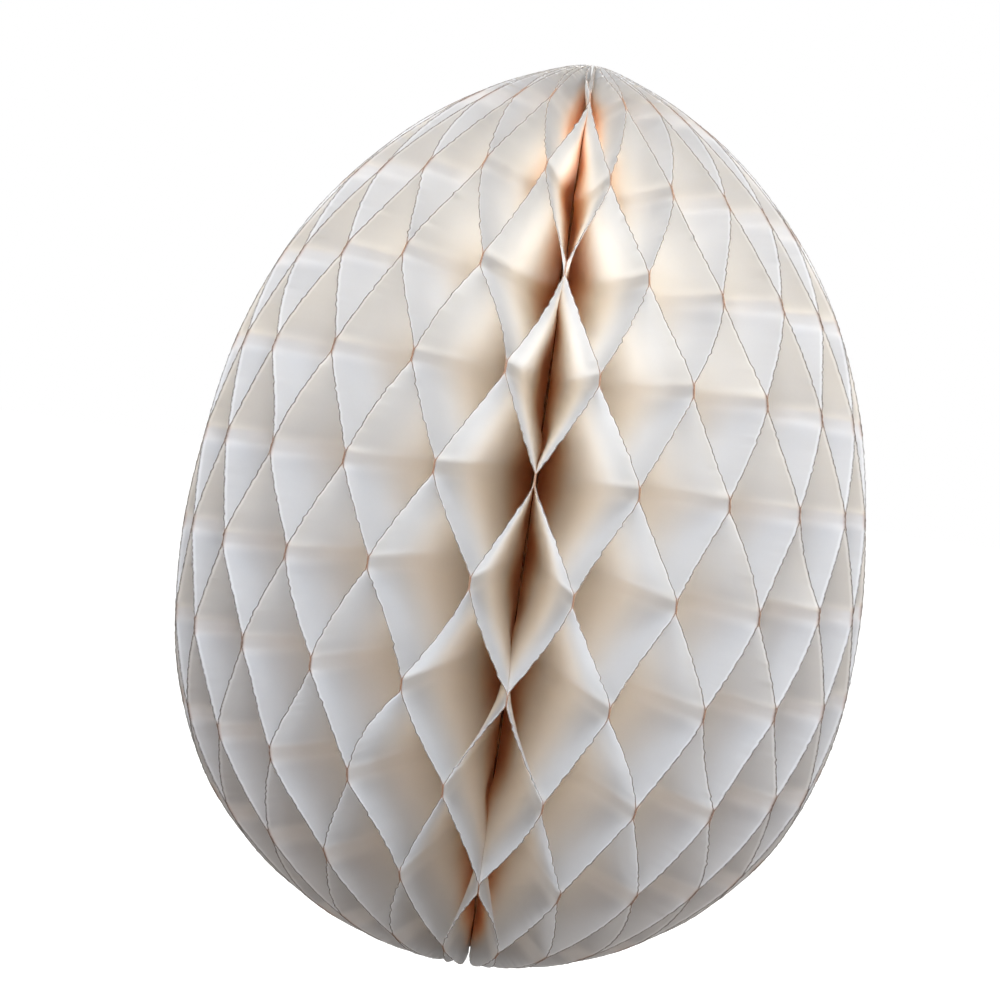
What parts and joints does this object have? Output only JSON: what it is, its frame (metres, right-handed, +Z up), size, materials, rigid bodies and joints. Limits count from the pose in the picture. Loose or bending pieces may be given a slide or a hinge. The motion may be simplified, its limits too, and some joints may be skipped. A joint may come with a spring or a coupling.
{
  "type": "paper honeycomb egg decoration",
  "caption": "Egg-shaped hanging decoration of thin paper leaves bound along a central spine and glued into columns of open diamond cells, with two cover boards that fold it flat.",
  "frame": {"origin": "the top pole of the egg, at the top end of the spine thread, where the object hangs", "axes": "+Z up along the spine, +Y towards the seam between the two cover boards, -Y towards the front"},
  "size_m": [0.1898, 0.1897, 0.2498],
  "materials": {
    "leaf_paper": "matt uncoated off-white tissue-weight paper",
    "cover_card": "matt thin card",
    "adhesive": "soft clear adhesive pad",
    "bound_paper": "paper edges soaked with dried glue",
    "thread": "twisted cotton thread"
  },
  "bodies": {
    "spine": {"spine_binding": "bound_paper", "spine_thread": "thread"},
    "cover_a": {"cover_board_a": "cover_card", "seam_pad_1": "adhesive", "seam_pad_2": "adhesive", "seam_pad_3": "adhesive"},
    "cover_b": {"cover_board_b": "cover_card"},
    "leaf_01": {"leaf_01": "leaf_paper"},
    "leaf_02": {"leaf_02": "leaf_paper"},
    "leaf_03": {"leaf_03": "leaf_paper"},
    "leaf_04": {"leaf_04": "leaf_paper"},
    "leaf_05": {"leaf_05": "leaf_paper"},
    "leaf_06": {"leaf_06": "leaf_paper"},
    "leaf_07": {"leaf_07": "leaf_paper"},
    "leaf_08": {"leaf_08": "leaf_paper"},
    "leaf_09": {"leaf_09": "leaf_paper"},
    "leaf_10": {"leaf_10": "leaf_paper"},
    "leaf_11": {"leaf_11": "leaf_paper"},
    "leaf_12": {"leaf_12": "leaf_paper"},
    "leaf_13": {"leaf_13": "leaf_paper"},
    "leaf_14": {"leaf_14": "leaf_paper"},
    "leaf_15": {"leaf_15": "leaf_paper"},
    "leaf_16": {"leaf_16": "leaf_paper"},
    "leaf_17": {"leaf_17": "leaf_paper"},
    "leaf_18": {"leaf_18": "leaf_paper"},
    "leaf_19": {"leaf_19": "leaf_paper"},
    "leaf_20": {"leaf_20": "leaf_paper"},
    "leaf_21": {"leaf_21": "leaf_paper"},
    "leaf_22": {"leaf_22": "leaf_paper"},
    "leaf_23": {"leaf_23": "leaf_paper"},
    "leaf_24": {"leaf_24": "leaf_paper"},
    "leaf_25": {"leaf_25": "leaf_paper"},
    "leaf_26": {"leaf_26": "leaf_paper"},
    "leaf_27": {"leaf_27": "leaf_paper"},
    "leaf_28": {"leaf_28": "leaf_paper"},
    "leaf_29": {"leaf_29": "leaf_paper"},
    "leaf_30": {"leaf_30": "leaf_paper"},
    "leaf_31": {"leaf_31": "leaf_paper"},
    "leaf_32": {"leaf_32": "leaf_paper"},
    "leaf_33": {"leaf_33": "leaf_paper"},
    "leaf_34": {"leaf_34": "leaf_paper"},
    "leaf_35": {"leaf_35": "leaf_paper"},
    "leaf_36": {"leaf_36": "leaf_paper"},
    "leaf_37": {"leaf_37": "leaf_paper"},
    "leaf_38": {"leaf_38": "leaf_paper"},
    "leaf_39": {"leaf_39": "leaf_paper"},
    "leaf_40": {"leaf_40": "leaf_paper"},
    "leaf_41": {"leaf_41": "leaf_paper"},
    "leaf_42": {"leaf_42": "leaf_paper"},
    "leaf_43": {"leaf_43": "leaf_paper"},
    "leaf_44": {"leaf_44": "leaf_paper"},
    "leaf_45": {"leaf_45": "leaf_paper"},
    "leaf_46": {"leaf_46": "leaf_paper"},
    "leaf_47": {"leaf_47": "leaf_paper"},
    "leaf_48": {"leaf_48": "leaf_paper"},
    "leaf_49": {"leaf_49": "leaf_paper"},
    "leaf_50": {"leaf_50": "leaf_paper"}
  },
  "joints": [
    {"name": "cover_a_fold", "type": "hinge", "parent": "spine", "child": "cover_a", "pos_m": [-0.00112, 0, 0], "axis": [0, 0, 1], "range_deg": [0, 180]},
    {"name": "cover_b_fold", "type": "hinge", "parent": "spine", "child": "cover_b", "pos_m": [0.00112, 0, 0], "axis": [0, 0, 1], "range_deg": [-180, 0]},
    {"name": "leaf_01_turn", "type": "hinge", "parent": "spine", "child": "leaf_01", "pos_m": [-0.00059, -0.00002, 0], "axis": [0, 0, 1], "range_deg": [0, 176.4], "deforming": ["leaf_01"]},
    {"name": "leaf_02_turn", "type": "hinge", "parent": "spine", "child": "leaf_02", "pos_m": [-0.00056, -0.00005, 0], "axis": [0, 0, 1], "range_deg": [0, 169.2], "deforming": ["leaf_02"]},
    {"name": "leaf_03_turn", "type": "hinge", "parent": "spine", "child": "leaf_03", "pos_m": [-0.00054, -0.00009, 0], "axis": [0, 0, 1], "range_deg": [0, 162], "deforming": ["leaf_03"]},
    {"name": "leaf_04_turn", "type": "hinge", "parent": "spine", "child": "leaf_04", "pos_m": [-0.00052, -0.00012, 0], "axis": [0, 0, 1], "range_deg": [0, 154.8], "deforming": ["leaf_04"]},
    {"name": "leaf_05_turn", "type": "hinge", "parent": "spine", "child": "leaf_05", "pos_m": [-0.00049, -0.00014, 0], "axis": [0, 0, 1], "range_deg": [0, 147.6], "deforming": ["leaf_05"]},
    {"name": "leaf_06_turn", "type": "hinge", "parent": "spine", "child": "leaf_06", "pos_m": [-0.00047, -0.00017, 0], "axis": [0, 0, 1], "range_deg": [0, 140.4], "deforming": ["leaf_06"]},
    {"name": "leaf_07_turn", "type": "hinge", "parent": "spine", "child": "leaf_07", "pos_m": [-0.00044, -0.00019, 0], "axis": [0, 0, 1], "range_deg": [0, 133.2], "deforming": ["leaf_07"]},
    {"name": "leaf_08_turn", "type": "hinge", "parent": "spine", "child": "leaf_08", "pos_m": [-0.00042, -0.00021, 0], "axis": [0, 0, 1], "range_deg": [0, 126], "deforming": ["leaf_08"]},
    {"name": "leaf_09_turn", "type": "hinge", "parent": "spine", "child": "leaf_09", "pos_m": [-0.0004, -0.00023, 0], "axis": [0, 0, 1], "range_deg": [0, 118.8], "deforming": ["leaf_09"]},
    {"name": "leaf_10_turn", "type": "hinge", "parent": "spine", "child": "leaf_10", "pos_m": [-0.00037, -0.00025, 0], "axis": [0, 0, 1], "range_deg": [0, 111.6], "deforming": ["leaf_10"]},
    {"name": "leaf_11_turn", "type": "hinge", "parent": "spine", "child": "leaf_11", "pos_m": [-0.00035, -0.00027, 0], "axis": [0, 0, 1], "range_deg": [0, 104.4], "deforming": ["leaf_11"]},
    {"name": "leaf_12_turn", "type": "hinge", "parent": "spine", "child": "leaf_12", "pos_m": [-0.00032, -0.00029, 0], "axis": [0, 0, 1], "range_deg": [0, 97.2], "deforming": ["leaf_12"]},
    {"name": "leaf_13_turn", "type": "hinge", "parent": "spine", "child": "leaf_13", "pos_m": [-0.0003, -0.0003, 0], "axis": [0, 0, 1], "range_deg": [0, 90], "deforming": ["leaf_13"]},
    {"name": "leaf_14_turn", "type": "hinge", "parent": "spine", "child": "leaf_14", "pos_m": [-0.00028, -0.00031, 0], "axis": [0, 0, 1], "range_deg": [0, 82.8], "deforming": ["leaf_14"]},
    {"name": "leaf_15_turn", "type": "hinge", "parent": "spine", "child": "leaf_15", "pos_m": [-0.00025, -0.00032, 0], "axis": [0, 0, 1], "range_deg": [0, 75.6], "deforming": ["leaf_15"]},
    {"name": "leaf_16_turn", "type": "hinge", "parent": "spine", "child": "leaf_16", "pos_m": [-0.00023, -0.00034, 0], "axis": [0, 0, 1], "range_deg": [0, 68.4], "deforming": ["leaf_16"]},
    {"name": "leaf_17_turn", "type": "hinge", "parent": "spine", "child": "leaf_17", "pos_m": [-0.0002, -0.00034, 0], "axis": [0, 0, 1], "range_deg": [0, 61.2], "deforming": ["leaf_17"]},
    {"name": "leaf_18_turn", "type": "hinge", "parent": "spine", "child": "leaf_18", "pos_m": [-0.00018, -0.00035, 0], "axis": [0, 0, 1], "range_deg": [0, 54], "deforming": ["leaf_18"]},
    {"name": "leaf_19_turn", "type": "hinge", "parent": "spine", "child": "leaf_19", "pos_m": [-0.00016, -0.00036, 0], "axis": [0, 0, 1], "range_deg": [0, 46.8], "deforming": ["leaf_19"]},
    {"name": "leaf_20_turn", "type": "hinge", "parent": "spine", "child": "leaf_20", "pos_m": [-0.00013, -0.00037, 0], "axis": [0, 0, 1], "range_deg": [0, 39.6], "deforming": ["leaf_20"]},
    {"name": "leaf_21_turn", "type": "hinge", "parent": "spine", "child": "leaf_21", "pos_m": [-0.00011, -0.00037, 0], "axis": [0, 0, 1], "range_deg": [0, 32.4], "deforming": ["leaf_21"]},
    {"name": "leaf_22_turn", "type": "hinge", "parent": "spine", "child": "leaf_22", "pos_m": [-0.00008, -0.00038, 0], "axis": [0, 0, 1], "range_deg": [0, 25.2], "deforming": ["leaf_22"]},
    {"name": "leaf_23_turn", "type": "hinge", "parent": "spine", "child": "leaf_23", "pos_m": [-0.00006, -0.00038, 0], "axis": [0, 0, 1], "range_deg": [0, 18], "deforming": ["leaf_23"]},
    {"name": "leaf_24_turn", "type": "hinge", "parent": "spine", "child": "leaf_24", "pos_m": [-0.00004, -0.00038, 0], "axis": [0, 0, 1], "range_deg": [0, 10.8], "deforming": ["leaf_24"]},
    {"name": "leaf_25_turn", "type": "hinge", "parent": "spine", "child": "leaf_25", "pos_m": [-0.00001, -0.00038, 0], "axis": [0, 0, 1], "range_deg": [0, 3.6], "deforming": ["leaf_25"]},
    {"name": "leaf_26_turn", "type": "hinge", "parent": "spine", "child": "leaf_26", "pos_m": [0.00001, -0.00038, 0], "axis": [0, 0, 1], "range_deg": [-3.6, 0], "deforming": ["leaf_26"]},
    {"name": "leaf_27_turn", "type": "hinge", "parent": "spine", "child": "leaf_27", "pos_m": [0.00004, -0.00038, 0], "axis": [0, 0, 1], "range_deg": [-10.8, 0], "deforming": ["leaf_27"]},
    {"name": "leaf_28_turn", "type": "hinge", "parent": "spine", "child": "leaf_28", "pos_m": [0.00006, -0.00038, 0], "axis": [0, 0, 1], "range_deg": [-18, 0], "deforming": ["leaf_28"]},
    {"name": "leaf_29_turn", "type": "hinge", "parent": "spine", "child": "leaf_29", "pos_m": [0.00008, -0.00038, 0], "axis": [0, 0, 1], "range_deg": [-25.2, 0], "deforming": ["leaf_29"]},
    {"name": "leaf_30_turn", "type": "hinge", "parent": "spine", "child": "leaf_30", "pos_m": [0.00011, -0.00037, 0], "axis": [0, 0, 1], "range_deg": [-32.4, 0], "deforming": ["leaf_30"]},
    {"name": "leaf_31_turn", "type": "hinge", "parent": "spine", "child": "leaf_31", "pos_m": [0.00013, -0.00037, 0], "axis": [0, 0, 1], "range_deg": [-39.6, 0], "deforming": ["leaf_31"]},
    {"name": "leaf_32_turn", "type": "hinge", "parent": "spine", "child": "leaf_32", "pos_m": [0.00016, -0.00036, 0], "axis": [0, 0, 1], "range_deg": [-46.8, 0], "deforming": ["leaf_32"]},
    {"name": "leaf_33_turn", "type": "hinge", "parent": "spine", "child": "leaf_33", "pos_m": [0.00018, -0.00035, 0], "axis": [0, 0, 1], "range_deg": [-54, 0], "deforming": ["leaf_33"]},
    {"name": "leaf_34_turn", "type": "hinge", "parent": "spine", "child": "leaf_34", "pos_m": [0.0002, -0.00034, 0], "axis": [0, 0, 1], "range_deg": [-61.2, 0], "deforming": ["leaf_34"]},
    {"name": "leaf_35_turn", "type": "hinge", "parent": "spine", "child": "leaf_35", "pos_m": [0.00023, -0.00034, 0], "axis": [0, 0, 1], "range_deg": [-68.4, 0], "deforming": ["leaf_35"]},
    {"name": "leaf_36_turn", "type": "hinge", "parent": "spine", "child": "leaf_36", "pos_m": [0.00025, -0.00032, 0], "axis": [0, 0, 1], "range_deg": [-75.6, 0], "deforming": ["leaf_36"]},
    {"name": "leaf_37_turn", "type": "hinge", "parent": "spine", "child": "leaf_37", "pos_m": [0.00028, -0.00031, 0], "axis": [0, 0, 1], "range_deg": [-82.8, 0], "deforming": ["leaf_37"]},
    {"name": "leaf_38_turn", "type": "hinge", "parent": "spine", "child": "leaf_38", "pos_m": [0.0003, -0.0003, 0], "axis": [0, 0, 1], "range_deg": [-90, 0], "deforming": ["leaf_38"]},
    {"name": "leaf_39_turn", "type": "hinge", "parent": "spine", "child": "leaf_39", "pos_m": [0.00032, -0.00029, 0], "axis": [0, 0, 1], "range_deg": [-97.2, 0], "deforming": ["leaf_39"]},
    {"name": "leaf_40_turn", "type": "hinge", "parent": "spine", "child": "leaf_40", "pos_m": [0.00035, -0.00027, 0], "axis": [0, 0, 1], "range_deg": [-104.4, 0], "deforming": ["leaf_40"]},
    {"name": "leaf_41_turn", "type": "hinge", "parent": "spine", "child": "leaf_41", "pos_m": [0.00037, -0.00025, 0], "axis": [0, 0, 1], "range_deg": [-111.6, 0], "deforming": ["leaf_41"]},
    {"name": "leaf_42_turn", "type": "hinge", "parent": "spine", "child": "leaf_42", "pos_m": [0.0004, -0.00023, 0], "axis": [0, 0, 1], "range_deg": [-118.8, 0], "deforming": ["leaf_42"]},
    {"name": "leaf_43_turn", "type": "hinge", "parent": "spine", "child": "leaf_43", "pos_m": [0.00042, -0.00021, 0], "axis": [0, 0, 1], "range_deg": [-126, 0], "deforming": ["leaf_43"]},
    {"name": "leaf_44_turn", "type": "hinge", "parent": "spine", "child": "leaf_44", "pos_m": [0.00044, -0.00019, 0], "axis": [0, 0, 1], "range_deg": [-133.2, 0], "deforming": ["leaf_44"]},
    {"name": "leaf_45_turn", "type": "hinge", "parent": "spine", "child": "leaf_45", "pos_m": [0.00047, -0.00017, 0], "axis": [0, 0, 1], "range_deg": [-140.4, 0], "deforming": ["leaf_45"]},
    {"name": "leaf_46_turn", "type": "hinge", "parent": "spine", "child": "leaf_46", "pos_m": [0.00049, -0.00014, 0], "axis": [0, 0, 1], "range_deg": [-147.6, 0], "deforming": ["leaf_46"]},
    {"name": "leaf_47_turn", "type": "hinge", "parent": "spine", "child": "leaf_47", "pos_m": [0.00052, -0.00012, 0], "axis": [0, 0, 1], "range_deg": [-154.8, 0], "deforming": ["leaf_47"]},
    {"name": "leaf_48_turn", "type": "hinge", "parent": "spine", "child": "leaf_48", "pos_m": [0.00054, -0.00009, 0], "axis": [0, 0, 1], "range_deg": [-162, 0], "deforming": ["leaf_48"]},
    {"name": "leaf_49_turn", "type": "hinge", "parent": "spine", "child": "leaf_49", "pos_m": [0.00056, -0.00005, 0], "axis": [0, 0, 1], "range_deg": [-169.2, 0], "deforming": ["leaf_49"]},
    {"name": "leaf_50_turn", "type": "hinge", "parent": "spine", "child": "leaf_50", "pos_m": [0.00059, -0.00002, 0], "axis": [0, 0, 1], "range_deg": [-176.4, 0], "deforming": ["leaf_50"]}
  ],
  "couplings": [
    {"joint": "cover_b_fold", "follows": "cover_a_fold", "ratio": -1},
    {"joint": "leaf_01_turn", "follows": "cover_a_fold", "ratio": 0.98},
    {"joint": "leaf_02_turn", "follows": "cover_a_fold", "ratio": 0.94},
    {"joint": "leaf_03_turn", "follows": "cover_a_fold", "ratio": 0.9},
    {"joint": "leaf_04_turn", "follows": "cover_a_fold", "ratio": 0.86},
    {"joint": "leaf_05_turn", "follows": "cover_a_fold", "ratio": 0.82},
    {"joint": "leaf_06_turn", "follows": "cover_a_fold", "ratio": 0.78},
    {"joint": "leaf_07_turn", "follows": "cover_a_fold", "ratio": 0.74},
    {"joint": "leaf_08_turn", "follows": "cover_a_fold", "ratio": 0.7},
    {"joint": "leaf_09_turn", "follows": "cover_a_fold", "ratio": 0.66},
    {"joint": "leaf_10_turn", "follows": "cover_a_fold", "ratio": 0.62},
    {"joint": "leaf_11_turn", "follows": "cover_a_fold", "ratio": 0.58},
    {"joint": "leaf_12_turn", "follows": "cover_a_fold", "ratio": 0.54},
    {"joint": "leaf_13_turn", "follows": "cover_a_fold", "ratio": 0.5},
    {"joint": "leaf_14_turn", "follows": "cover_a_fold", "ratio": 0.46},
    {"joint": "leaf_15_turn", "follows": "cover_a_fold", "ratio": 0.42},
    {"joint": "leaf_16_turn", "follows": "cover_a_fold", "ratio": 0.38},
    {"joint": "leaf_17_turn", "follows": "cover_a_fold", "ratio": 0.34},
    {"joint": "leaf_18_turn", "follows": "cover_a_fold", "ratio": 0.3},
    {"joint": "leaf_19_turn", "follows": "cover_a_fold", "ratio": 0.26},
    {"joint": "leaf_20_turn", "follows": "cover_a_fold", "ratio": 0.22},
    {"joint": "leaf_21_turn", "follows": "cover_a_fold", "ratio": 0.18},
    {"joint": "leaf_22_turn", "follows": "cover_a_fold", "ratio": 0.14},
    {"joint": "leaf_23_turn", "follows": "cover_a_fold", "ratio": 0.1},
    {"joint": "leaf_24_turn", "follows": "cover_a_fold", "ratio": 0.06},
    {"joint": "leaf_25_turn", "follows": "cover_a_fold", "ratio": 0.02},
    {"joint": "leaf_26_turn", "follows": "cover_a_fold", "ratio": -0.02},
    {"joint": "leaf_27_turn", "follows": "cover_a_fold", "ratio": -0.06},
    {"joint": "leaf_28_turn", "follows": "cover_a_fold", "ratio": -0.1},
    {"joint": "leaf_29_turn", "follows": "cover_a_fold", "ratio": -0.14},
    {"joint": "leaf_30_turn", "follows": "cover_a_fold", "ratio": -0.18},
    {"joint": "leaf_31_turn", "follows": "cover_a_fold", "ratio": -0.22},
    {"joint": "leaf_32_turn", "follows": "cover_a_fold", "ratio": -0.26},
    {"joint": "leaf_33_turn", "follows": "cover_a_fold", "ratio": -0.3},
    {"joint": "leaf_34_turn", "follows": "cover_a_fold", "ratio": -0.34},
    {"joint": "leaf_35_turn", "follows": "cover_a_fold", "ratio": -0.38},
    {"joint": "leaf_36_turn", "follows": "cover_a_fold", "ratio": -0.42},
    {"joint": "leaf_37_turn", "follows": "cover_a_fold", "ratio": -0.46},
    {"joint": "leaf_38_turn", "follows": "cover_a_fold", "ratio": -0.5},
    {"joint": "leaf_39_turn", "follows": "cover_a_fold", "ratio": -0.54},
    {"joint": "leaf_40_turn", "follows": "cover_a_fold", "ratio": -0.58},
    {"joint": "leaf_41_turn", "follows": "cover_a_fold", "ratio": -0.62},
    {"joint": "leaf_42_turn", "follows": "cover_a_fold", "ratio": -0.66},
    {"joint": "leaf_43_turn", "follows": "cover_a_fold", "ratio": -0.7},
    {"joint": "leaf_44_turn", "follows": "cover_a_fold", "ratio": -0.74},
    {"joint": "leaf_45_turn", "follows": "cover_a_fold", "ratio": -0.78},
    {"joint": "leaf_46_turn", "follows": "cover_a_fold", "ratio": -0.82},
    {"joint": "leaf_47_turn", "follows": "cover_a_fold", "ratio": -0.86},
    {"joint": "leaf_48_turn", "follows": "cover_a_fold", "ratio": -0.9},
    {"joint": "leaf_49_turn", "follows": "cover_a_fold", "ratio": -0.94},
    {"joint": "leaf_50_turn", "follows": "cover_a_fold", "ratio": -0.98}
  ]
}
